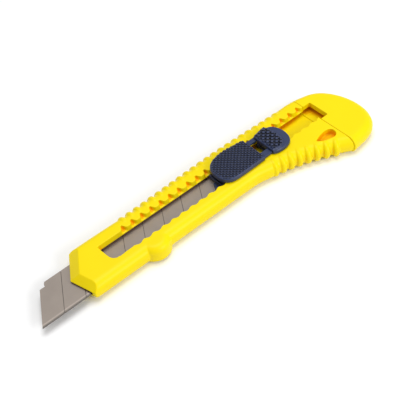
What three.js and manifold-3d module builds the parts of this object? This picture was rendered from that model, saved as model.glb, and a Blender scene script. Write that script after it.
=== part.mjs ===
// Utility knife with an 18 mm snap-off blade. Millimetres, +Z up.
// The knife lies on the flat back of its handle, which is the plane Z = 0.
// +X runs from the blade's tip to the handle's rear, +Y towards the blade's spine,
// and Y = 0 is the middle of the blade's width.
import * as THREE from 'three';
import { mergeVertices } from 'three/addons/utils/BufferGeometryUtils.js';
import Module from 'manifold-3d';

const wasm = await Module();
wasm.setup();

// ---- driving dimensions ----
const HANDLE_THICK = 8.2;
const SIDE_ROUND = 3.9;
const MID_Z = HANDLE_THICK / 2;

const BLADE_WIDTH = 18;
const BLADE_LENGTH = 100;
const BLADE_THICK = 0.5;
const BLADE_TIP_X = -85;
const BLADE_Z = 3.7;
const SNAP_PITCH = 10;
const SNAP_SLOPE = Math.tan(Math.PI / 3);
const BEVEL_WIDTH = 1.3;
const PIN_X = 10;
const PIN_RADIUS = 1.5;

const CHANNEL_FLOOR = 3.55;
const LEDGE_UNDER = 5.55;
const LEDGE_TOP = 6.2;
const CHANNEL_HALF = 9.15;
const MOUTH_ROOF = 4.75;
const SLOT_FRONT = -48.7;
const LEDGE_LOW = -4.0;
const LEDGE_HIGH = 5.0;
const WAVE_PITCH = 4.85;
const WAVE_START = -35.4;
const SEAM_X = 64.2;
const SEAM_GAP = 0.3;
const CAP_NOTCH_X = 68.5;

const SLIDER_FRONT = 8.3;
const SLIDER_REAR = 30;
const LOCK_FRONT = 34.5;
const LOCK_REAR = 46.8;

// ---- helpers ----
function solid(geometry) {
  geometry.deleteAttribute('normal');
  geometry.deleteAttribute('uv');
  const g = mergeVertices(geometry, 1e-5);
  return new wasm.Manifold(new wasm.Mesh({
    numProp: 3,
    vertProperties: new Float32Array(g.attributes.position.array),
    triVerts: new Uint32Array(g.index.array),
  }));
}

function toMesh(name, body, material) {
  const m = body.simplify(0.01).getMesh();
  const g = new THREE.BufferGeometry();
  g.setAttribute('position', new THREE.BufferAttribute(m.vertProperties, 3));
  g.setIndex(new THREE.BufferAttribute(m.triVerts, 1));
  g.computeVertexNormals();
  const mesh = new THREE.Mesh(g, material);
  mesh.name = name;
  return mesh;
}

// A prism on a plan outline, from one height to another, with optional rounded edges.
function prism(shape, z0, z1, round = 0, steps = 3, curve = 4) {
  const g = new THREE.ExtrudeGeometry(shape, {
    depth: z1 - z0 - 2 * round,
    bevelEnabled: round > 0,
    bevelThickness: round,
    bevelSize: round,
    bevelOffset: -round,
    bevelSegments: steps,
    curveSegments: curve,
  });
  g.translate(0, 0, z0 + round);
  return solid(g);
}

function box(x0, x1, y0, y1, z0, z1) {
  const g = new THREE.BoxGeometry(x1 - x0, y1 - y0, z1 - z0);
  g.translate((x0 + x1) / 2, (y0 + y1) / 2, (z0 + z1) / 2);
  return solid(g);
}

function post(x, y, radius, z0, z1, sides = 24) {
  const g = new THREE.CylinderGeometry(radius, radius, z1 - z0, sides);
  g.rotateX(Math.PI / 2);
  g.translate(x, y, (z0 + z1) / 2);
  return solid(g);
}

function polygon(points) {
  return new THREE.Shape(points.map(([x, y]) => new THREE.Vector2(x, y)));
}

function smooth(points, closing = []) {
  const shape = new THREE.Shape();
  shape.moveTo(...points[0]);
  shape.splineThru(points.slice(1).map(([x, y]) => new THREE.Vector2(x, y)));
  closing.forEach(([x, y]) => shape.lineTo(x, y));
  return shape;
}

const unite = (parts) => wasm.Manifold.union(parts);

// Keeps the side of a body that lies behind a plane, given a point on it and its outward normal.
function trim(body, point, normal) {
  const n = new THREE.Vector3(...normal).normalize().negate();
  return body.trimByPlane(n.toArray(), n.dot(new THREE.Vector3(...point)));
}

// ---- handle ----
// A grip rib: a hoop round the handle's half-round side, whose outermost point is (x, y).
function rib(x, y, sign, lean) {
  const ring = 2.9;
  const thick = 1.4;
  const g = new THREE.TorusGeometry(ring, thick, 8, 16);
  g.rotateY(Math.PI / 2);
  g.rotateZ(lean);
  g.translate(x, y + sign * (ring + thick), MID_Z);
  return solid(g);
}

function handleOutline() {
  const spine = [
    [-76, 12.4], [-54, 12.8], [-33, 12.8], [-5, 13.8], [10, 14.5], [30, 14.0],
    [48, 13.9], [57, 13.6], [66, 13.0], [84, 11.6],
  ];
  const belly = [
    [84, -37], [63.5, -25.2], [58.3, -22.3], [54.3, -20.2], [50.2, -18.1], [46.4, -16.5],
    [42.7, -15.2], [38.6, -14.0], [35, -13.3], [30.3, -12.8], [27, -11.9], [23, -11.1], [19, -10.9],
    [-76, -10.9],
  ];
  return smooth(spine, belly);
}

function wave(x, mean, swing) {
  return mean + swing * Math.cos(2 * Math.PI * (x - WAVE_START) / WAVE_PITCH);
}

// The slot through the handle's top, with scalloped edges that the slider clicks along.
function slotCutter() {
  const low = [[SLOT_FRONT + 1.4, -2.4], [SLOT_FRONT + 2.8, -4.2], [SLOT_FRONT + 5, -4.5]];
  const high = [];
  const step = WAVE_PITCH / 8;
  for (let x = WAVE_START - WAVE_PITCH / 2; x < SEAM_X; x += step) {
    low.push([x, wave(x, -4.8, -0.4)]);
    high.unshift([x, wave(x, 7.2, 0.4)]);
  }
  const outline = [
    [SLOT_FRONT, 6.6], ...low, [SEAM_X + 2, -4.8], [SEAM_X + 2, 7.2], ...high,
  ];
  const walls = prism(polygon(outline), LEDGE_TOP, HANDLE_THICK + 1);
  const throat = box(SLOT_FRONT + 0.6, SEAM_X + 2, LEDGE_LOW, LEDGE_HIGH, LEDGE_UNDER - 1, LEDGE_TOP + 0.5);
  return walls.add(throat);
}

function handleBody() {
  let body = prism(handleOutline(), 0, HANDLE_THICK, SIDE_ROUND, 4, 3);
  const nub = prism(polygon(circle(-30, -6.4, 7, 28)), 0.6, HANDLE_THICK, 0.9, 2);
  const bellyRibs = [
    [31.9, -13.6, 0.1], [35.5, -14.3, 0.2], [39.6, -15.4, 0.27], [43.2, -16.6, 0.33],
    [47.3, -18.1, 0.38], [51.3, -19.8, 0.42], [55.1, -21.6, 0.46], [58.8, -23.6, 0.5],
  ].map(([x, y, lean]) => rib(x, y, 1, -lean));
  const spineRibs = [];
  for (let i = 0; i < 23; i += 1) {
    const x = -32.7 + 3.9 * i;
    const rise = 1.55 * Math.exp(-(((x - 14) / 34) ** 2));
    spineRibs.push(rib(x, 13.35 + rise, -1, 0));
  }
  body = unite([body, nub, ...bellyRibs, ...spineRibs]);

  // nose: two slanted end faces with a sloped band above and below each
  body = trim(body, [-65.2, 1.1, 0], [-0.848, 0.529, 0]);
  body = trim(body, [-65.2, 1.1, 0], [-0.96, -0.278, 0]);
  for (const side of [1, -1]) {
    body = trim(body, [-65.2, 1.1, MID_Z + 1.1 * side], [-2.54, 1.59, 4.15 * side]);
    body = trim(body, [-65.2, 1.1, MID_Z + 1.1 * side], [-2.88, -0.83, 3.1 * side]);
  }
  body = trim(body, [0, 0, 0], [0, 0, -1]);
  body = trim(body, [SEAM_X - SEAM_GAP / 2, 0, 0], [1, 0, 0]);

  const mouth = box(-75, SLOT_FRONT + 1, -CHANNEL_HALF, CHANNEL_HALF, CHANNEL_FLOOR, MOUTH_ROOF);
  const channel = box(SLOT_FRONT, 80, -CHANNEL_HALF, CHANNEL_HALF, CHANNEL_FLOOR, LEDGE_UNDER);
  const recess = smooth(
    [[52.6, -14.2], [56.1, -13], [60, -12.4], [62.6, -13.6], [62.4, -16.2], [60.5, -17.8],
      [57.9, -17.3], [54.5, -16], [52.6, -14.2]],
  );
  const latchPocket = box(57, 70, -20.2, -12.6, 1.3, 3.1);
  return body
    .subtract(unite([mouth, channel, slotCutter(), latchPocket, prism(recess, 4.6, 10)]));
}

function circle(x, y, radius, sides) {
  const points = [];
  for (let i = 0; i < sides; i += 1) {
    const a = 2 * Math.PI * i / sides;
    points.push([x + radius * Math.cos(a), y + radius * Math.sin(a)]);
  }
  return points;
}

// ---- end cap ----
function endCap() {
  const outline = smooth(
    [
      [38, 14.1], [57, 13.6], [63.5, 13.2], [68.7, 12.3], [73.8, 10.8], [77.9, 8], [81.9, 2],
      [84.1, -5.3], [84.3, -11.1], [83.1, -16.7], [81.2, -20.4], [79.5, -22.2], [76.6, -24.1],
      [72.7, -25.1], [67, -25.8], [63, -26.6],
    ],
    [[38, -26.6]],
  );
  let cap = prism(outline, 0, HANDLE_THICK, SIDE_ROUND, 4, 3);
  cap = trim(cap, [SEAM_X + SEAM_GAP / 2, 0, 0], [-1, 0, 0]);
  const notch = box(60, CAP_NOTCH_X, -5.4, 5.9, 5, 10);
  const hollow = box(60, 74, -CHANNEL_HALF, CHANNEL_HALF, CHANNEL_FLOOR, 5.6);
  const latch = box(57.6, 66, -19.7, -13.1, 1.6, 2.8);
  return cap.subtract(unite([notch, hollow])).add(latch);
}

// ---- blade ----
function blade() {
  const half = BLADE_WIDTH / 2;
  const slant = BLADE_WIDTH / SNAP_SLOPE;
  const tail = BLADE_TIP_X + BLADE_LENGTH;
  const z0 = BLADE_Z;
  const z1 = BLADE_Z + BLADE_THICK;
  const frontStep = BLADE_TIP_X + slant + 1.2;
  let body = prism(polygon([
    [BLADE_TIP_X, -half], [tail, -half], [tail, half], [frontStep + 1, half],
    [frontStep, half - 2], [BLADE_TIP_X + slant * 0.89, half - 2],
  ]), z0, z1);
  // the ground cutting edge
  body = trim(body, [0, -half, z0 + 0.2], [0, -BLADE_THICK, BEVEL_WIDTH * 2]);
  body = trim(body, [0, -half, z0 + 0.2], [0, -BLADE_THICK, -BEVEL_WIDTH * 3]);
  // the score lines that the segments snap along
  const scores = [];
  for (let i = 1; i <= 8; i += 1) {
    const x = BLADE_TIP_X + SNAP_PITCH * i;
    scores.push(prism(polygon([
      [x - 0.5, -half - 1], [x - 0.2, -half - 1], [x + slant + 1.2, half + 1], [x + slant + 0.9, half + 1],
    ]), z1 - 0.12, z1 + 1));
  }
  return body.subtract(unite([...scores, post(PIN_X, 0, PIN_RADIUS + 0.1, 0, 9)]));
}

// ---- slider ----
function padOutline() {
  return smooth(
    [
      [SLIDER_FRONT, -0.6], [8.5, -3.6], [9.7, -5.8], [12, -7.2], [16, -7.5], [24, -7.3],
      [SLIDER_REAR, -7.2],
    ],
    [[SLIDER_REAR, 6.8], [26, 7.5], [20, 8.1], [15.5, 7.8], [12, 6.8], [9.6, 4.6], [8.5, 2.2]],
  );
}

function slider() {
  const plate = prism(polygon([
    [3.2, -8.8], [SLIDER_REAR, -8.8], [SLIDER_REAR, 8.8], [15.5, 8.8], [11.5, 1.6], [7.4, 0.6],
  ]), 4.3, 5.4);
  const neck = box(8.5, SLIDER_REAR, -3.7, 4.7, 5.3, 6.5);
  const shoulder = box(9, SLIDER_REAR, -4.1, 6.5, 6.35, 8.6);
  const pad = prism(padOutline(), 8.5, 11, 0.6, 2);
  const lowRail = box(28, 38.5, -6.6, -3.6, 8.5, 9.8);
  const highRail = box(28, 38.5, 3, 6, 8.5, 9.8);
  const pin = post(PIN_X, 0, PIN_RADIUS, 3.65, 4.6);
  const springPocket = box(12, 27, -5, -3.3, 6.3, 7.5);
  const springSeat = box(12, 27, -3.4, -2.9, 6.3, 7.5);
  return unite([plate, neck, shoulder, pad, lowRail, highRail, pin])
    .subtract(springPocket.add(springSeat));
}

// A bowed steel leaf whose middle rides along the scalloped edge of the slot.
function clickSpring() {
  const outer = [];
  const inner = [];
  for (let i = 0; i <= 12; i += 1) {
    const x = 12.3 + 14.4 * i / 12;
    const bow = Math.sin(Math.PI * i / 12);
    outer.push([x, -3.25 - 0.95 * bow]);
    inner.unshift([x, -2.95 - 0.95 * bow]);
  }
  return prism(polygon([...outer, ...inner]), 6.45, 7.35);
}

function lockPad() {
  const outline = smooth(
    [
      [LOCK_FRONT, -7.4], [36.5, -8.3], [39, -8.6], [42, -8.4], [44.6, -7.1], [46.2, -4.8],
      [LOCK_REAR, -1], [46.4, 2], [45.4, 4.3], [43.8, 5.6], [42.8, 6.7],
    ],
    [[39.5, 6.6], [36.8, 6.1], [LOCK_FRONT, 5.4]],
  );
  let pad = prism(outline, 8.5, 11.6, 0.5, 2, 1);
  pad = trim(pad, [LOCK_FRONT + 5, 0, 11.6], [0.16, 0, 1]);
  const stem = box(36, 42, -2.6, 2, 5.3, 9.4);
  const foot = box(35.5, 42.5, -8.6, 8.6, 4.3, 5.4);
  const grooves = [box(30, 43, -6.9, -3.3, 8, 10.1), box(30, 43, 2.7, 6.3, 8, 10.1)];
  return pad.subtract(unite(grooves)).add(stem).add(foot);
}

// ---- assembly ----
const yellow = new THREE.MeshStandardMaterial({ color: 0xf8dd0c, roughness: 0.35, metalness: 0 });
const navy = new THREE.MeshStandardMaterial({ color: 0x252d45, roughness: 0.55, metalness: 0 });
const steel = new THREE.MeshStandardMaterial({ color: 0x9c9186, roughness: 0.35, metalness: 0.9 });
const springSteel = new THREE.MeshStandardMaterial({ color: 0xa8a8ac, roughness: 0.3, metalness: 1 });

const group = new THREE.Group();
group.add(toMesh('handle_body', handleBody(), yellow));
group.add(toMesh('end_cap', endCap(), yellow.clone()));
group.add(toMesh('blade', blade(), steel));
group.add(toMesh('slider', slider(), navy));
group.add(toMesh('click_spring', clickSpring(), springSteel));
group.add(toMesh('lock_pad', lockPad(), navy.clone()));

export default group;
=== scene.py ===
import math

import bmesh
import bpy
from mathutils import Matrix, Vector
from mathutils.bvhtree import BVHTree


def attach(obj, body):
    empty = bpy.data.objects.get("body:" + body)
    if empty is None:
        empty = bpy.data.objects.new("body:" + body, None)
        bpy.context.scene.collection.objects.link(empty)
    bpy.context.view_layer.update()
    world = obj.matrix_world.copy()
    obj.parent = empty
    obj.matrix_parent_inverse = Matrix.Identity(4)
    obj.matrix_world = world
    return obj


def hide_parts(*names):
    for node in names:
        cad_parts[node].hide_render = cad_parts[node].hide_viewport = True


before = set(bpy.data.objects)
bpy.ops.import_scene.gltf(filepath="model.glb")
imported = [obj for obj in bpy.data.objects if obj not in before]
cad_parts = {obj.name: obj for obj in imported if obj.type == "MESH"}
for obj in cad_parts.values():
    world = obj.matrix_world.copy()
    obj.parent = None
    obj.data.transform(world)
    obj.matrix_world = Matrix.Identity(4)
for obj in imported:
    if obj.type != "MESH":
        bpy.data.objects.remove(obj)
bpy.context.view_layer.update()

# Shapes are drawn in millimetres in the frame's own axes and turned to metres at the end.
MILLIMETRE = 0.001

# Handle and cap: a slab with half-round sides, cut by the blade's channel and the wavy slot.
THICK = 8.2
MID = THICK / 2
SIDE_ROUND = 3.9
SEAM = 64.2
SEAM_GAP = 0.1
CHANNEL_HALF = 9.15
CHANNEL_FLOOR = 3.55
SLOT_FRONT = -48.7
WAVE_PITCH = 4.85
WAVE_START = -35.4
NUB_X = -30
NUB_Y = -6.4
NUB_RADIUS = 7

# Ribs: an even row along the spine and one along the curved cutting side.
SPINE_RIB_START = -32.7
SPINE_RIB_PITCH = 3.9
SPINE_RIB_COUNT = 23
RIB_START = 31.9
RIB_PITCH = 3.84
RIB_COUNT = 8
BELLY_LEAN = 0.19
BELLY_BEND = 0.007

# Blade: a strip with a slanted tip and a score line at the same slant every SNAP_PITCH.
BLADE_TIP = -85
BLADE_LENGTH = 100
BLADE_HALF = 9
BLADE_LOW = 3.7
BLADE_HIGH = 4.2
SNAP_PITCH = 10
SNAP_COUNT = 8
SLANT = 2 * BLADE_HALF / math.tan(math.radians(60))
PIN_X = 10

SPRING_LOW = 6.45
SPRING_HIGH = 7.35


# ---- shaping ----
def flowing(points, steps=5):
    """A smooth run through plan points, first to last."""
    first = [2 * a - b for a, b in zip(points[0], points[1])]
    last = [2 * a - b for a, b in zip(points[-1], points[-2])]
    path = [first, *points, last]
    run = []
    for a, b, c, d in zip(path, path[1:], path[2:], path[3:]):
        a, b, c, d = Vector(a), Vector(b), Vector(c), Vector(d)
        for i in range(steps):
            t = i / steps
            run.append(
                (2 * b + (c - a) * t + (2 * a - 5 * b + 4 * c - d) * t**2
                 + (3 * b - a - 3 * c + d) * t**3) / 2
            )
    run.append(Vector(points[-1]))
    return run


def plate(outline, low, high, rim_top=0, rim_low=0, segments=6):
    """A slab on a plan outline, with its top and bottom edges rounded."""
    bm = bmesh.new()
    face = bm.faces.new([bm.verts.new((p[0], p[1], low)) for p in outline])
    made = bmesh.ops.extrude_face_region(bm, geom=[face])["geom"]
    top = [g for g in made if isinstance(g, bmesh.types.BMVert)]
    bmesh.ops.translate(bm, verts=top, vec=(0, 0, high - low))
    bmesh.ops.recalc_face_normals(bm, faces=bm.faces)
    for height, radius in ((high, rim_top), (low, rim_low)):
        if radius:
            edges = [e for e in bm.edges if all(abs(v.co.z - height) < 1e-4 for v in e.verts)]
            bmesh.ops.bevel(
                bm, geom=edges, offset=radius, offset_type="OFFSET", segments=segments,
                profile=0.5, affect="EDGES", clamp_overlap=False, material=-1,
            )
    return bm


def block(x0, x1, y0, y1, z0, z1):
    bm = bmesh.new()
    bmesh.ops.create_cube(bm, size=1)
    bmesh.ops.scale(bm, vec=(x1 - x0, y1 - y0, z1 - z0), verts=bm.verts)
    bmesh.ops.translate(bm, vec=((x0 + x1) / 2, (y0 + y1) / 2, (z0 + z1) / 2), verts=bm.verts)
    return bm


def between(x0, x1, top=20):
    """A block wider and taller than the knife, from x0 to x1."""
    return block(x0, x1, -60, 60, -5, top)


def post(x, y, radius, z0, z1):
    bm = bmesh.new()
    bmesh.ops.create_cone(
        bm, cap_ends=True, segments=48, radius1=radius, radius2=radius, depth=z1 - z0
    )
    bmesh.ops.translate(bm, vec=(x, y, (z0 + z1) / 2), verts=bm.verts)
    return bm


def hoop(x, y, side, lean, ring=2.9, thick=1.4):
    """A rib round the handle's half-round side; (x, y) is its outermost point."""
    bm = bmesh.new()
    bmesh.ops.create_circle(bm, segments=16, radius=thick)
    bmesh.ops.rotate(bm, matrix=Matrix.Rotation(math.pi / 2, 3, "X"), verts=bm.verts)
    bmesh.ops.translate(bm, vec=(0, 0, ring), verts=bm.verts)
    bmesh.ops.spin(
        bm, geom=bm.verts[:] + bm.edges[:], cent=(0, 0, 0), axis=(1, 0, 0), dvec=(0, 0, 0),
        angle=math.tau, steps=40, use_merge=True, use_duplicate=False,
    )
    bmesh.ops.remove_doubles(bm, verts=bm.verts, dist=1e-4)
    bmesh.ops.recalc_face_normals(bm, faces=bm.faces)
    bmesh.ops.rotate(bm, matrix=Matrix.Rotation(lean, 3, "Z"), verts=bm.verts)
    bmesh.ops.translate(bm, vec=(x, y + side * (ring + thick), MID), verts=bm.verts)
    return bm


def together(parts):
    """Several shapes in one mesh, not yet joined."""
    bm = bmesh.new()
    for part in parts:
        mesh = bpy.data.meshes.new("part")
        part.to_mesh(mesh)
        part.free()
        bm.from_mesh(mesh)
        bpy.data.meshes.remove(mesh)
    return bm


def as_object(bm, name="work"):
    mesh = bpy.data.meshes.new(name)
    bm.to_mesh(mesh)
    bm.free()
    piece = bpy.data.objects.new(name, mesh)
    bpy.context.scene.collection.objects.link(piece)
    return piece


def applied(piece):
    """The piece's mesh with its modifiers applied; the piece itself goes."""
    graph = bpy.context.evaluated_depsgraph_get()
    mesh = bpy.data.meshes.new_from_object(piece.evaluated_get(graph))
    bm = bmesh.new()
    bm.from_mesh(mesh)
    old = piece.data
    bpy.data.objects.remove(piece)
    bpy.data.meshes.remove(old)
    bpy.data.meshes.remove(mesh)
    return bm


def carved(bm, tool, way="DIFFERENCE"):
    base = as_object(bm)
    cutter = as_object(tool)
    cut = base.modifiers.new("cut", "BOOLEAN")
    cut.operation = way
    cut.solver = "MANIFOLD"
    cut.object = cutter
    result = applied(base)
    old = cutter.data
    bpy.data.objects.remove(cutter)
    bpy.data.meshes.remove(old)
    return result


def moulded(bm, grain, rounds, most_faces):
    """Turns joined shapes into one skin with the soft edges of a moulding."""
    piece = as_object(bm)
    skin = piece.modifiers.new("skin", "REMESH")
    skin.mode = "VOXEL"
    skin.voxel_size = grain * 1
    soft = piece.modifiers.new("soft", "SMOOTH")
    soft.factor = 0.5
    soft.iterations = rounds
    bm = applied(piece)
    bmesh.ops.triangulate(bm, faces=bm.faces)
    count = len(bm.faces)
    if count > most_faces:
        piece = as_object(bm)
        fewer = piece.modifiers.new("fewer", "DECIMATE")
        fewer.ratio = most_faces / count
        bm = applied(piece)
    return bm


def trimmed(bm, place, normal):
    """Takes away what lies in front of a plane and closes the cut."""
    cut = bmesh.ops.bisect_plane(
        bm, geom=bm.verts[:] + bm.edges[:] + bm.faces[:], plane_co=place, plane_no=normal,
        clear_outer=True,
    )
    edges = [g for g in cut["geom_cut"] if isinstance(g, bmesh.types.BMEdge)]
    bmesh.ops.edgeloop_fill(bm, edges=edges)


def ruled(bm):
    """Rules the channel's wide flats into smaller faces, so the painted shade baked at their points
    can change across them.
    """
    rows = (-8.3, -5.5, -2.7, 0.2, 3.1, 6.0, 8.4)
    columns = [x + 0.13 for x in range(-60, 64, 4)]
    cuts = [((0, y, 0), (0, 1, 0)) for y in rows]
    cuts += [((x, 0, 0), (1, 0, 0)) for x in columns]
    for place, facing in cuts:
        bmesh.ops.bisect_plane(
            bm, geom=bm.verts[:] + bm.edges[:] + bm.faces[:], dist=1e-5,
            plane_co=place, plane_no=facing,
        )
    bmesh.ops.triangulate(bm, faces=bm.faces)
    return bm


def sheltered(bm, reach):
    """Stores at each point how much of the open air round it nearby walls cover; the plastic
    finishes paint shade from this.
    """
    bm.normal_update()
    tree = BVHTree.FromBMesh(bm)
    count = 30
    ways = []
    for i in range(count):
        z = 1 - (2 * i + 1) / count
        turn = i * math.pi * (3 - math.sqrt(5))
        flat = math.sqrt(1 - z * z)
        ways.append(Vector((flat * math.cos(turn), flat * math.sin(turn), z)))
    cover = bm.verts.layers.float.new("shelter")
    for v in bm.verts:
        total = covered = 0.0
        start = v.co + v.normal * 0.06  # clear of the point's own faces
        for way in ways:
            facing = way.dot(v.normal)
            if facing > 0.15:
                total += facing
                if tree.ray_cast(start, way, reach)[0] is not None:
                    covered += facing
        v[cover] = covered / total if total else 0.0


def finished(name, bm, body, node, finish, smooth=True, reach=0):
    """Puts a shape into the scene in metres, riding on its body in place of its solid."""
    # A reach bakes the shelter from which the plastic finishes paint shade into recesses and
    # grooves.
    if reach:
        sheltered(bm, reach)
    bmesh.ops.scale(bm, vec=(MILLIMETRE,) * 3, verts=bm.verts)
    for face in bm.faces:
        face.smooth = smooth
    piece = as_object(bm, name)
    piece.data.materials.append(finish)
    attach(piece, body)
    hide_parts(node)
    return piece


# ---- handle ----
def wave(x, crest, depth, sharp):
    """A row of pockets along the slot's edge; a higher sharp makes them narrower."""
    swing = 0.5 + 0.5 * math.cos(math.tau * (x - WAVE_START) / WAVE_PITCH)
    return crest + depth * swing**sharp


def belly_slope(x):
    return BELLY_LEAN + 2 * BELLY_BEND * (x - RIB_START)


def belly_crest(x):
    """The line through the tops of the cutting-side ribs, a parabola."""
    run = x - RIB_START
    return -13.5 - BELLY_LEAN * run - BELLY_BEND * run**2


def spine_crest(x):
    """The line through the tops of the spine ribs, with a low swell beside the slider."""
    return 13.35 + 1.4 * math.exp(-(((x - 18) / 32) ** 2))


def handle_outline():
    spine = [
        (-80, 12.8), (-66, 12.9), (-54, 12.9), (-42, 12.8), (-35, 12.6), (-30, 12.1),
        (-20, 12.2), (-5, 12.8), (10, 13.4), (25, 13.4), (40, 13.1), (50, 12.9), (57.5, 13.4),
        (64, 13.2), (76, 12.2),
    ]
    belly = [(x, belly_crest(x) + 1.2) for x in range(76, 33, -6)]
    belly += [(30.3, -12.5), (27, -11.9), (23, -11.1)]
    belly += [(x, -10.9) for x in (18, 0, -30, -80)]
    return flowing(spine, 4)[:-1] + flowing(belly, 3)


def slot_walls():
    """The slot's opening: a rounded front, then a shallow wave below and a deep one above."""
    low = flowing([
        (SLOT_FRONT + 0.2, 1.5), (SLOT_FRONT + 0.5, -1.8), (SLOT_FRONT + 1.1, -3.4),
        (SLOT_FRONT + 2.4, -4.4), (SLOT_FRONT + 4.4, -4.7),
    ], 5)
    high = [Vector((SLOT_FRONT, 5.2)), Vector((SLOT_FRONT + 0.4, 5.55))]
    x = WAVE_START - WAVE_PITCH / 2
    while x < SEAM + 1:
        low.append(Vector((x, wave(x, -4.4, -0.85, 0.9))))
        high.append(Vector((x, wave(x, 5.5, 2.3, 3.0))))
        x += WAVE_PITCH / 20
    low.append(Vector((SEAM + 3, -4.8)))
    high.append(Vector((SEAM + 3, 5.8)))
    walls = plate(low + high[::-1], 6.2, THICK + 1)
    for v in walls.verts:  # the upper wall leans, so its foot stands further in
        if v.co.y > 5.3 and v.co.z < 6.5:
            v.co.y -= 0.5
    return walls


def nose_cut(bm):
    """Trims the nose to its two slanted end faces, with a sloped band above and below each."""
    corner = (-65.2, 1.1)
    band = 1.1
    planes = [((-0.848, 0.529, 0), 0), ((-0.96, -0.278, 0), 0)]
    for side in (1, -1):
        planes.append(((-2.54, 1.59, 4.15 * side), band * side))
        planes.append(((-2.88, -0.83, 3.1 * side), band * side))
    for normal, rise in planes:
        trimmed(bm, (*corner, MID + rise), normal)


def nub_shape():
    outline = [
        (NUB_X + NUB_RADIUS * math.cos(a), NUB_Y + NUB_RADIUS * math.sin(a))
        for a in (math.tau * i / 64 for i in range(64))
    ]
    return plate(outline, 0.4, THICK, 3.2, 1.6, 8)


def rib_shapes():
    ribs = []
    for i in range(RIB_COUNT):
        x = RIB_START + RIB_PITCH * i
        ribs.append(hoop(x, belly_crest(x), 1, -math.atan(belly_slope(x))))
    for i in range(SPINE_RIB_COUNT):
        x = SPINE_RIB_START + SPINE_RIB_PITCH * i
        ribs.append(hoop(x, spine_crest(x), -1, 0, ring=2.95, thick=1.42))
    return ribs


def recess_shape():
    """The teardrop pocket ahead of the seam."""
    outline = flowing([
        (52.8, -14.2), (56.1, -13.0), (60, -12.4), (62.4, -13.2), (62.9, -15.0), (62.2, -16.8),
        (60.4, -17.7), (57.9, -17.2), (54.9, -16.1), (52.8, -14.2),
    ], 6)
    return plate(outline[:-1], 5.2, 12)


def handle_shape():
    base = plate(handle_outline(), 0, THICK, SIDE_ROUND, SIDE_ROUND, 8)
    nose_cut(base)
    body = carved(base, together([nub_shape()]), "UNION")
    body = carved(body, together(rib_shapes()), "UNION")
    body = carved(body, between(SEAM - SEAM_GAP, 100))
    body = carved(body, between(-100, 100, top=0.02))
    mouth = block(-90, SLOT_FRONT + 1, -CHANNEL_HALF, CHANNEL_HALF, CHANNEL_FLOOR, 4.95)
    channel = block(SLOT_FRONT, 90, -CHANNEL_HALF, CHANNEL_HALF, CHANNEL_FLOOR, 5.55)
    step = block(SLOT_FRONT + 0.7, 90, -4.0, 5.0, 5.0, 6.6)
    latch_pocket = block(57.2, 70, -20.1, -12.7, 1.2, 3.2)
    for tool in (mouth, channel, step, slot_walls(), recess_shape(), latch_pocket):
        body = carved(body, tool)
    return ruled(moulded(body, grain=0.21, rounds=4, most_faces=120000))


# ---- end cap ----
def cap_shape():
    outline = flowing([
        (44, 14.0), (50, 13.9), (57, 13.6), (63.5, 13.2), (68.7, 12.3), (73.8, 10.8), (77.9, 8.0),
        (81.4, 3.0), (83.6, -3.0), (84.35, -9.0), (83.7, -15.0), (81.6, -19.8), (79.2, -22.4),
        (76.2, -24.2), (72.2, -25.3), (67, -25.85), (63, -26.4), (56, -27.3), (44, -28.3),
    ], 5)
    cap = plate(outline, 0, THICK, SIDE_ROUND, SIDE_ROUND, 8)
    opening = block(60, 68.4, -5.8, 5.3, 5, 12)
    channel = block(60, 74, -CHANNEL_HALF, CHANNEL_HALF, CHANNEL_FLOOR, 5.6)
    for tool in (between(30, SEAM + SEAM_GAP), opening, channel):
        cap = carved(cap, tool)
    latch = block(57.6, 66, -19.7, -13.1, 1.6, 2.8)
    cap = carved(cap, latch, "UNION")
    return moulded(cap, grain=0.21, rounds=4, most_faces=90000)


# ---- blade ----
def blade_shape():
    tail = BLADE_TIP + BLADE_LENGTH
    step = BLADE_TIP + SLANT + 1.2
    bm = plate([
        (BLADE_TIP, -BLADE_HALF), (tail, -BLADE_HALF), (tail, BLADE_HALF),
        (step + 1, BLADE_HALF), (step + 0.2, BLADE_HALF - 1.0), (step, BLADE_HALF - 2.1),
        (BLADE_TIP + SLANT * 0.885, BLADE_HALF - 2.05),
    ], BLADE_LOW, BLADE_HIGH)
    middle = (BLADE_LOW + BLADE_HIGH) / 2
    for side in (1, -1):
        trimmed(bm, (0, -BLADE_HALF, middle + 0.02 * side), (0, -0.23, 1.4 * side))
    for i in range(1, SNAP_COUNT + 1):
        x = BLADE_TIP + SNAP_PITCH * i
        groove = plate([
            (x - 0.69, -BLADE_HALF - 1), (x - 0.46, -BLADE_HALF - 1),
            (x + SLANT + 0.69, BLADE_HALF + 1), (x + SLANT + 0.46, BLADE_HALF + 1),
        ], BLADE_HIGH - 0.3, BLADE_HIGH + 1)
        bm = carved(bm, groove)
    return carved(bm, post(PIN_X, 0, 1.6, 0, 9))


# ---- slider and lock ----
def knurl(x0, x1, y0, y1, low, high, pitch, depth):
    """A slab whose top is a diamond knurl: square pyramids with flat tops, set corner-on."""
    cells = 4
    reach = max(x1 - x0, y1 - y0) * 0.75
    count = round(2 * reach / pitch)
    bm = bmesh.new()
    bmesh.ops.create_grid(
        bm, x_segments=count * cells, y_segments=count * cells, size=count * pitch / 2
    )
    for v in bm.verts:
        a = abs((v.co.x / pitch) % 1 - 0.5) * 2
        b = abs((v.co.y / pitch) % 1 - 0.5) * 2
        v.co.z = high - depth * min(1, max(0, max(a, b) - 0.35) / 0.65)
    made = bmesh.ops.extrude_face_region(bm, geom=bm.faces[:])["geom"]
    lower = [g for g in made if isinstance(g, bmesh.types.BMVert)]
    for v in lower:
        v.co.z = low
    bmesh.ops.recalc_face_normals(bm, faces=bm.faces)
    bmesh.ops.rotate(bm, matrix=Matrix.Rotation(math.pi / 4, 3, "Z"), verts=bm.verts)
    bmesh.ops.translate(bm, vec=((x0 + x1) / 2, (y0 + y1) / 2, 0), verts=bm.verts)
    return bm


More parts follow.
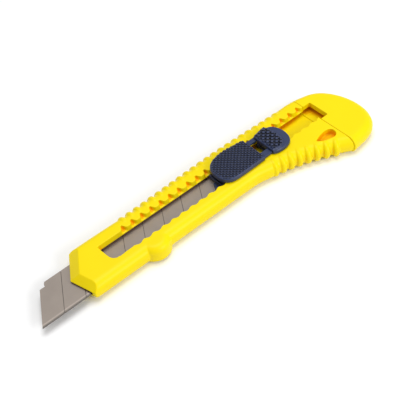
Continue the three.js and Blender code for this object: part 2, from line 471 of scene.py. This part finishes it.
def pad_outline(inset=0.0):
    """The thumb pad's outline, drawn in toward its middle by about the inset."""
    run = flowing([
        (30, -7.2), (24, -7.4), (17, -7.5), (12.6, -7.2), (10, -5.9), (8.6, -3.6), (8.2, -0.6),
        (8.4, 2.2), (9.5, 4.7), (12, 6.8), (15.5, 7.9), (20, 8.2), (26, 7.6), (30, 7.0),
    ], 5)
    middle = Vector((19.5, 0.2))
    return [middle + (p - middle) * (1 - inset / 9) for p in run]


def slider_shape():
    foot = plate([
        (3.2, -8.8), (30, -8.8), (30, 8.8), (15.5, 8.8), (11.5, 1.6), (7.4, 0.6),
    ], 4.3, 5.4)
    neck = block(8.5, 30, -3.7, 4.7, 5.2, 6.5)
    shoulder = block(9.5, 30, -4.1, 4.7, 6.3, 8.8)
    pad = plate(pad_outline(), 8.5, 10.4, 0.4, 0.3, 4)
    rails = [block(28, 38.5, low, high, 8.5, 9.5) for low, high in ((-6.6, -3.4), (3.4, 5.6))]
    pin = post(PIN_X, 0, 1.5, 3.65, 4.6)
    body = foot
    for part in (neck, shoulder, pad, *rails, pin):
        body = carved(body, part, "UNION")
    spring_pocket = block(12, 27, -5, -2.9, 6.3, 7.5)
    body = carved(body, spring_pocket)
    points = knurl(8, 30, -8, 8.5, 9, 11.0, pitch=1.35, depth=0.75)
    grip = carved(plate(pad_outline(0.3), 10, 12), points, "INTERSECT")
    body = carved(body, grip, "UNION")
    return moulded(body, grain=0.13, rounds=0, most_faces=160000)


def lock_shape():
    flange = plate(flowing([
        (34.5, -7.4), (36.5, -8.2), (39, -8.5), (42, -8.2), (44.6, -6.9), (46.2, -4.4),
        (46.7, -1), (46.2, 2), (45.1, 4.3), (43.4, 5.6), (41.5, 6.0), (38, 5.8), (34.5, 5.4),
    ], 5), 8.5, 10.2, 0.8, 0.2, 4)
    raised = plate(flowing([
        (34.5, -7.2), (37, -7.8), (39.4, -7.8), (41.4, -6.6), (42.6, -4.0), (42.9, 0.0),
        (42.5, 3.6), (41.9, 5.9), (41.2, 6.5), (38.5, 6.1), (34.5, 5.2),
    ], 5), 8.6, 10.7, 0.4, 0, 4)
    body = carved(flange, raised, "UNION")
    top = plate(flowing([
        (35.0, -6.6), (37, -7.2), (39.2, -7.2), (41, -6.2), (42.1, -3.9), (42.4, 0),
        (42.0, 3.4), (41.4, 5.6), (40.8, 5.9), (38.5, 5.6), (35.0, 4.8),
    ], 5), 10, 12)
    points = knurl(34, 44, -8, 7, 10, 11.55, pitch=1.9, depth=0.85)
    body = carved(body, carved(top, points, "INTERSECT"), "UNION")
    for low, high in ((-6.9, -3.1), (3.1, 5.9)):
        body = carved(body, block(30, 43, low, high, 8, 9.8))
    neck = block(36, 42, -2.6, 2, 5.2, 9.6)
    foot = block(35.5, 42.5, -8.6, 8.6, 4.3, 5.4)
    for part in (neck, foot):
        body = carved(body, part, "UNION")
    return moulded(body, grain=0.13, rounds=1, most_faces=90000)


def spring_shape():
    """A thin leaf, bowed toward the slot's lower wave."""
    steps = 24
    outer = [
        (12.3 + 14.4 * i / steps, -3.25 - 0.95 * math.sin(math.pi * i / steps))
        for i in range(steps + 1)
    ]
    inner = [(x, y + 0.3) for x, y in outer]
    return plate(outer + inner[::-1], SPRING_LOW, SPRING_HIGH)


# ---- finishes ----
def nodes_of(name):
    material = bpy.data.materials.new(name)
    material.use_nodes = True
    tree = material.node_tree
    return material, tree, tree.nodes["Principled BSDF"]


def noise(tree, scale, detail=2):
    node = tree.nodes.new("ShaderNodeTexNoise")
    node.inputs["Scale"].default_value = scale
    node.inputs["Detail"].default_value = detail
    return node


def blend(tree, second, first=None):
    """A mix of two colours; the first is left open where a link brings it."""
    node = tree.nodes.new("ShaderNodeMix")
    node.data_type = "RGBA"
    if first:
        node.inputs["A"].default_value = (*first, 1)
    node.inputs["B"].default_value = (*second, 1)
    return node


def relief(tree, strength, distance):
    node = tree.nodes.new("ShaderNodeBump")
    node.inputs["Strength"].default_value = strength
    node.inputs["Distance"].default_value = distance
    return node


def linked(tree, pairs):
    for source, target in pairs:
        tree.links.new(source, target)


def plastic(name, colour, deep, painted_shade, open_to, shut_from, rough, shine, grain, bump):
    """Moulded plastic: a slow drift of colour, a fine mould grain, and painted shade in its
    recesses, where the colour goes toward the painted shade colour as nearby walls cover the point.
    """
    material, tree, shader = nodes_of(name)
    place = tree.nodes.new("ShaderNodeTexCoord")
    drift = noise(tree, 60, 3)
    mix = blend(tree, deep, colour)
    # Painted shade: the baked shelter value at each point moves the colour toward the painted shade
    # colour.
    cover = tree.nodes.new("ShaderNodeAttribute")
    cover.attribute_name = "shelter"
    depth = tree.nodes.new("ShaderNodeMapRange")
    depth.interpolation_type = "SMOOTHSTEP"
    depth.inputs["From Min"].default_value = open_to
    depth.inputs["From Max"].default_value = shut_from
    # the painted shade colour, mixed in where the point is sheltered
    inner = blend(tree, painted_shade)
    fine = noise(tree, grain, 4)
    lift = relief(tree, bump, 0.0002)
    linked(tree, (
        (place.outputs["Object"], drift.inputs["Vector"]),
        (place.outputs["Object"], fine.inputs["Vector"]),
        (drift.outputs["Fac"], mix.inputs["Factor"]),
        (mix.outputs["Result"], inner.inputs["A"]),
        (cover.outputs["Fac"], depth.inputs["Value"]),
        (depth.outputs["Result"], inner.inputs["Factor"]),
        (inner.outputs["Result"], shader.inputs["Base Color"]),
        (fine.outputs["Fac"], lift.inputs["Height"]),
        (lift.outputs["Normal"], shader.inputs["Normal"]),
    ))
    shader.inputs["Roughness"].default_value = rough
    shader.inputs["Specular IOR Level"].default_value = shine
    return material


def steel(name, colour, dark, rough, low, high):
    """Ground steel: fine streaks across the strip, a faint film of oil, and painted shade, near
    black, on the faces between its two flats: the score grooves, the sharpened edge's bevel and its
    thin sides.
    """
    middle = (low + high) / 2 * MILLIMETRE
    half = (high - low) / 2 * MILLIMETRE
    material, tree, shader = nodes_of(name)
    place = tree.nodes.new("ShaderNodeTexCoord")
    turn = tree.nodes.new("ShaderNodeMapping")
    turn.inputs["Scale"].default_value = (9000, 300, 300)
    streak = noise(tree, 1, 5)
    film = noise(tree, 150)
    mix = blend(tree, dark, colour)
    lift = relief(tree, 0.08, 0.0001)
    # Painted shade: faces between the strip's two flats go toward near black.
    parts = tree.nodes.new("ShaderNodeSeparateXYZ")
    apart = tree.nodes.new("ShaderNodeMath")
    apart.operation = "SUBTRACT"
    apart.inputs[1].default_value = middle
    off = tree.nodes.new("ShaderNodeMath")
    off.operation = "ABSOLUTE"
    groove_shade_mask = tree.nodes.new("ShaderNodeMapRange")
    groove_shade_mask.inputs["From Min"].default_value = half - 0.00001
    groove_shade_mask.inputs["From Max"].default_value = half - 0.00016
    groove_shade_mask.inputs["To Min"].default_value = 0
    groove_shade_mask.inputs["To Max"].default_value = 0.85
    # the near-black painted shade colour
    cut = blend(tree, (0.05, 0.045, 0.04))
    linked(tree, (
        (place.outputs["Object"], parts.inputs["Vector"]),
        (parts.outputs["Z"], apart.inputs[0]),
        (apart.outputs["Value"], off.inputs[0]),
        (off.outputs["Value"], groove_shade_mask.inputs["Value"]),
        (groove_shade_mask.outputs["Result"], cut.inputs["Factor"]),
        (mix.outputs["Result"], cut.inputs["A"]),
        (place.outputs["Object"], turn.inputs["Vector"]),
        (turn.outputs["Vector"], streak.inputs["Vector"]),
        (place.outputs["Object"], film.inputs["Vector"]),
        (film.outputs["Fac"], mix.inputs["Factor"]),
        (cut.outputs["Result"], shader.inputs["Base Color"]),
        (streak.outputs["Fac"], lift.inputs["Height"]),
        (lift.outputs["Normal"], shader.inputs["Normal"]),
    ))
    shader.inputs["Metallic"].default_value = 0.6
    shader.inputs["Roughness"].default_value = rough
    return material


# Painted shade in recesses: orange on the yellow moulding, near black in the navy knurl's grooves.
yellow = plastic(
    "yellow moulding", colour=(0.88, 0.70, 0.0), deep=(0.84, 0.64, 0.0), painted_shade=(0.88, 0.39, 0.0),
    open_to=0.18, shut_from=0.64, rough=0.38, shine=0.16, grain=3500, bump=0.05,
)
navy = plastic(
    "navy moulding", colour=(0.026, 0.039, 0.1), deep=(0.02, 0.031, 0.084),
    painted_shade=(0.001, 0.0015, 0.005),
    open_to=0.05, shut_from=0.32, rough=0.38, shine=0.4, grain=5000, bump=0.08,
)
blade_steel = steel(
    "blade steel", (0.34, 0.292, 0.255), (0.28, 0.24, 0.21), 0.45, BLADE_LOW, BLADE_HIGH
)
bright_steel = steel(
    "spring steel", (0.6, 0.6, 0.62), (0.5, 0.5, 0.52), 0.28, SPRING_LOW, SPRING_HIGH
)

# Reach: how far each piece looks for walls that cover it, for its painted shade.
finished("handle_skin", handle_shape(), "handle", "handle_body", yellow,
         reach=5)
finished("cap_skin", cap_shape(), "cap", "end_cap", yellow, reach=5)
finished("snap_blade", blade_shape(), "carriage", "blade", blade_steel, False)
finished("thumb_slider", slider_shape(), "carriage", "slider", navy,
         reach=1.5)
finished("click_leaf", spring_shape(), "carriage", "click_spring", bright_steel,
         False)
finished("lock_button", lock_shape(), "lock", "lock_pad", navy, reach=1.5)


# ---- camera, floor and light ----
def add_camera(place, target, roll, lens):
    data = bpy.data.cameras.new("camera")
    data.lens = lens
    data.sensor_width = 36
    data.clip_start = 0.01
    camera = bpy.data.objects.new("camera", data)
    bpy.context.scene.collection.objects.link(camera)
    look = (target - place).to_track_quat("-Z", "Y").to_matrix().to_4x4()
    camera.matrix_world = Matrix.Translation(place) @ look @ Matrix.Rotation(roll, 4, "Z")
    bpy.context.scene.camera = camera


def add_light(name, place, size, power):
    data = bpy.data.lights.new(name, "AREA")
    data.shape = "DISK"
    data.size = size
    data.energy = power
    lamp = bpy.data.objects.new(name, data)
    lamp.location = place
    lamp.rotation_euler = (-Vector(place)).to_track_quat("-Z", "Y").to_euler()
    bpy.context.scene.collection.objects.link(lamp)


def add_floor():
    bm = bmesh.new()
    bmesh.ops.create_grid(bm, x_segments=1, y_segments=1, size=3)
    floor = as_object(bm, "floor")
    material, _, shader = nodes_of("pale floor")
    shader.inputs["Base Color"].default_value = (0.93, 0.93, 0.93, 1)
    shader.inputs["Roughness"].default_value = 0.9
    floor.data.materials.append(material)


add_camera(
    place=Vector((-0.13946, -0.20239, 0.26459)), target=Vector((-0.00252, -0.00851, 0.0042)),
    roll=math.radians(-7.62), lens=74.34,
)
add_light("key", place=(0.1, 0.06, 0.72), size=0.55, power=3.0)
add_light("fill", place=(0.25, -0.65, 0.4), size=0.35, power=2.7)
add_floor()

world = bpy.data.worlds.new("studio")
bpy.context.scene.world = world
world.use_nodes = True
world.node_tree.nodes["Background"].inputs["Color"].default_value = (1, 1, 1, 1)
world.node_tree.nodes["Background"].inputs["Strength"].default_value = 0.52
bpy.context.scene.view_settings.view_transform = "Standard"
